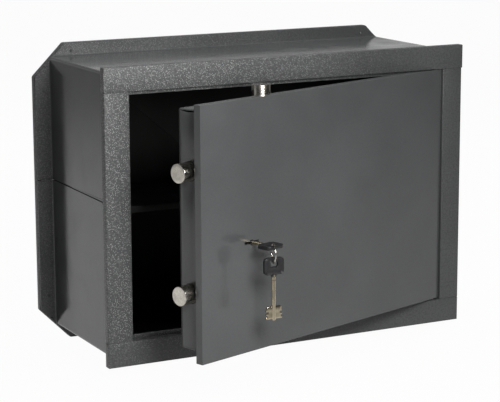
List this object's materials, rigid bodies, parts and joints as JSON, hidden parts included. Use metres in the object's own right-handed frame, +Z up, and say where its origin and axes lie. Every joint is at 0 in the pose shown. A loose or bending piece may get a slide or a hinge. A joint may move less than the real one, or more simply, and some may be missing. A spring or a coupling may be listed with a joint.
{
  "type": "wall safe",
  "caption": "Key-locked wall safe with its door ajar: folded steel body with rear masonry flange, flat front frame, shelf, sliding bolts, lever lock and keys on a ring.",
  "frame": {"origin": "the centre of the rear panel's back face", "axes": "+X to the right as seen from the front, +Y back into the wall, +Z up"},
  "size_m": [0.504, 0.3564, 0.3702],
  "materials": {
    "hammertone_paint": "dark grey hammertone enamel with fine bright speckle",
    "satin_paint": "smooth satin dark grey enamel",
    "dark_sheet": "black paint on thin sheet",
    "nickel_plate": "warm nickel plate, slightly dull",
    "zinc_plate": "pale zinc plate",
    "bright_steel": "plain machined steel",
    "key_brass": "pale brass, lightly worn",
    "black_plastic": "moulded black plastic"
  },
  "bodies": {
    "safe_body": {"upper_shell": "satin_paint", "lower_shell": "satin_paint", "seam_strip_left": "dark_sheet", "seam_strip_right": "dark_sheet", "rear_panel": "hammertone_paint", "frame_top_rail": "hammertone_paint", "frame_bottom_rail": "hammertone_paint", "frame_left_stile": "hammertone_paint", "frame_right_stile": "hammertone_paint", "stop_lip_top": "hammertone_paint", "stop_lip_bottom": "hammertone_paint", "stop_lip_left": "hammertone_paint", "shelf": "dark_sheet", "shelf_bracket_left": "dark_sheet", "shelf_bracket_right": "dark_sheet", "hinge_pin_upper": "bright_steel", "hinge_pin_lower": "bright_steel", "hinge_washer": "key_brass"},
    "door": {"door_plate": "satin_paint", "door_box": "satin_paint", "door_back_cover": "dark_sheet", "cover_post_lower_left": "zinc_plate", "cover_post_upper_left": "zinc_plate", "cover_post_lower_right": "zinc_plate", "cover_post_upper_right": "zinc_plate", "cover_screw_lower_left": "zinc_plate", "cover_screw_upper_left": "zinc_plate", "cover_screw_lower_right": "zinc_plate", "cover_screw_upper_right": "zinc_plate", "side_bolt_guide": "zinc_plate", "top_bolt_guide": "zinc_plate", "crank_stud": "bright_steel", "lock_case": "bright_steel", "lock_case_cover": "bright_steel", "case_screw_left": "zinc_plate", "case_screw_right": "zinc_plate", "lever_post": "bright_steel", "lever_spring": "bright_steel"},
    "side_bolts": {"side_bolt_upper": "nickel_plate", "side_bolt_lower": "nickel_plate", "bolt_bar": "zinc_plate", "bolt_bar_screw_upper": "zinc_plate", "bolt_bar_screw_lower": "zinc_plate", "bar_link": "zinc_plate", "lock_tongue": "zinc_plate"},
    "top_bolt_group": {"top_bolt": "nickel_plate", "top_bolt_rod": "zinc_plate"},
    "crank": {"bell_crank": "zinc_plate"},
    "lock_levers": {"lever_1": "key_brass", "lever_2": "key_brass", "lever_3": "key_brass", "lever_4": "key_brass"},
    "curtain": {"lock_curtain": "key_brass"},
    "lock_key": {"lock_key_bow": "black_plastic", "lock_key_blade": "key_brass"},
    "ring": {"key_ring": "nickel_plate"},
    "spare_key": {"spare_key_bow": "black_plastic", "spare_key_blade": "key_brass"}
  },
  "joints": [
    {"name": "door_swing", "type": "hinge", "parent": "safe_body", "child": "door", "pos_m": [0.2019, -0.195, 0], "axis": [0, 0, 1], "range_deg": [-10.9, 81]},
    {"name": "key_turn", "type": "hinge", "parent": "door", "child": "curtain", "pos_m": [-0.10882, -0.30685, -0.0175], "axis": [-0.3244, 0.9459, 0], "range_deg": [0, 360]},
    {"name": "key_withdraw", "type": "slide", "parent": "curtain", "child": "lock_key", "axis": [0.3244, -0.9459, 0], "range_m": [0, 0.062]},
    {"name": "ring_swing", "type": "hinge", "parent": "lock_key", "child": "ring", "pos_m": [-0.10125, -0.34491, -0.0231], "axis": [0.96, -0.2802, 0], "range_deg": [-20, 20]},
    {"name": "spare_key_swing", "type": "hinge", "parent": "ring", "child": "spare_key", "pos_m": [-0.10125, -0.34491, -0.0341], "axis": [-0.2802, -0.96, 0], "range_deg": [-30, 30]},
    {"name": "side_bolt_slide", "type": "slide", "parent": "door", "child": "side_bolts", "axis": [0.9459, 0.3244, 0], "range_m": [0, 0.016]},
    {"name": "top_bolt_slide", "type": "slide", "parent": "door", "child": "top_bolt_group", "axis": [0, 0, -1], "range_m": [0, 0.016]},
    {"name": "crank_swing", "type": "hinge", "parent": "door", "child": "crank", "pos_m": [-0.10541, -0.27703, 0.057], "axis": [-0.3244, 0.9459, 0], "range_deg": [0, 30.56]},
    {"name": "lever_lift", "type": "hinge", "parent": "door", "child": "lock_levers", "pos_m": [-0.0864, -0.26956, 0.011], "axis": [-0.3244, 0.9459, 0], "range_deg": [0, 4], "stiffness_Nm_per_rad": 0.05, "springref_deg": -11.46, "deforming": ["lever_spring"]}
  ],
  "couplings": [
    {"joint": "key_turn", "follows": "side_bolt_slide", "rad_per_m": 392.7},
    {"joint": "top_bolt_slide", "follows": "side_bolt_slide", "ratio": 1},
    {"joint": "crank_swing", "follows": "side_bolt_slide", "rad_per_m": 33.333}
  ]
}
